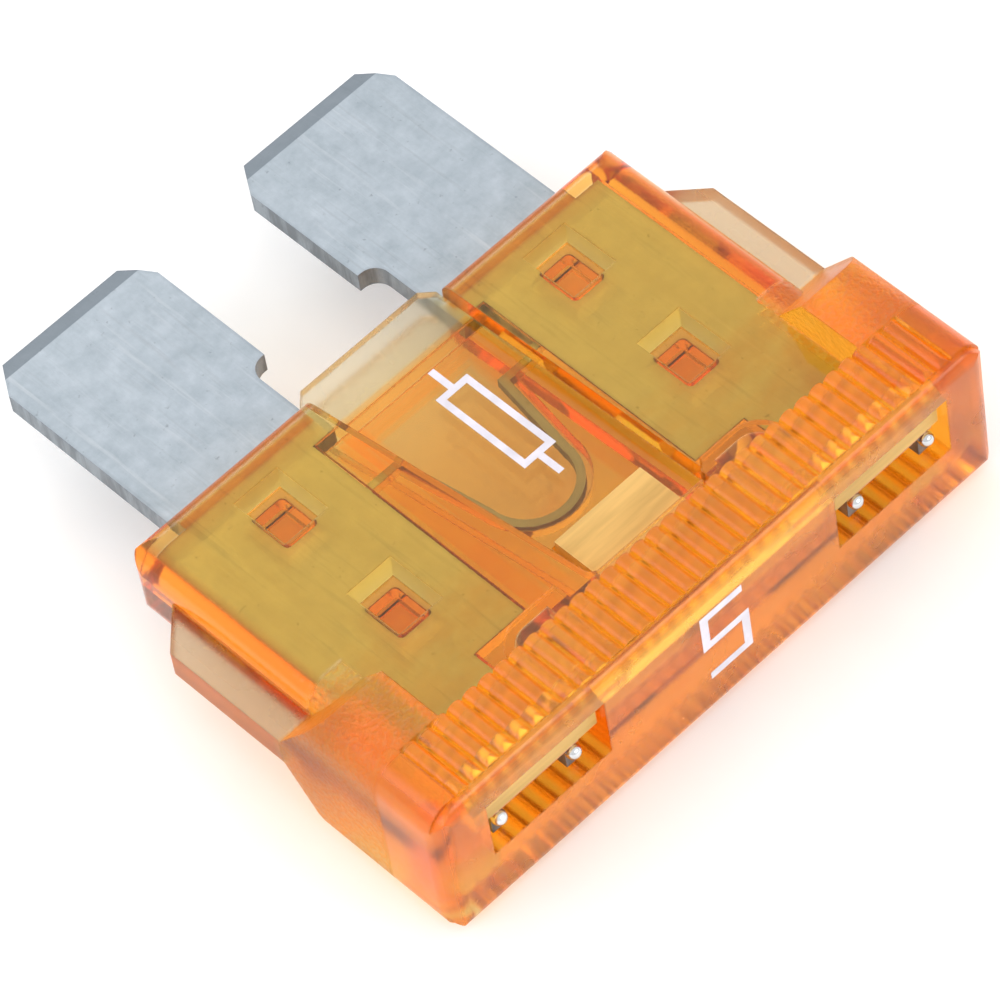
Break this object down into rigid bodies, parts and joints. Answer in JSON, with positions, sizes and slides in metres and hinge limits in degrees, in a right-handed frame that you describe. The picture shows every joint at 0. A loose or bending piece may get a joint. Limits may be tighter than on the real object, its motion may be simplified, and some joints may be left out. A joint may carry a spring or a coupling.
{
  "type": "automotive blade fuse",
  "caption": "Plug-in blade fuse: flat metal blades and a fusible link in a see-through amber housing with a ribbed grip head, test slots and an indicator lamp.",
  "frame": {"origin": "under the middle of the outline, on the plane that the back of the head rests on", "axes": "+X across the width of the head, +Y from the head's end face to the blade tips, +Z out of the front face"},
  "size_m": [0.019, 0.0198, 0.0051],
  "materials": {
    "amber_plastic": "clear amber moulded plastic",
    "plated_metal": "dull plated zinc strip",
    "cream_board": "cream laminate",
    "copper": "bare copper",
    "lamp_resin": "cast resin",
    "solder": "bright solder",
    "dark_ceramic": "dark glazed ceramic",
    "white_mark": "white hot stamped mark"
  },
  "bodies": {
    "root": {"housing": "amber_plastic", "blade_stamping": "plated_metal", "indicator_board": "cream_board", "board_tracks": "copper", "lamp_block": "lamp_resin", "lamp_terminals": "solder", "series_resistor": "dark_ceramic", "resistor_caps": "solder", "solder_beads": "solder"}
  },
  "joints": []
}
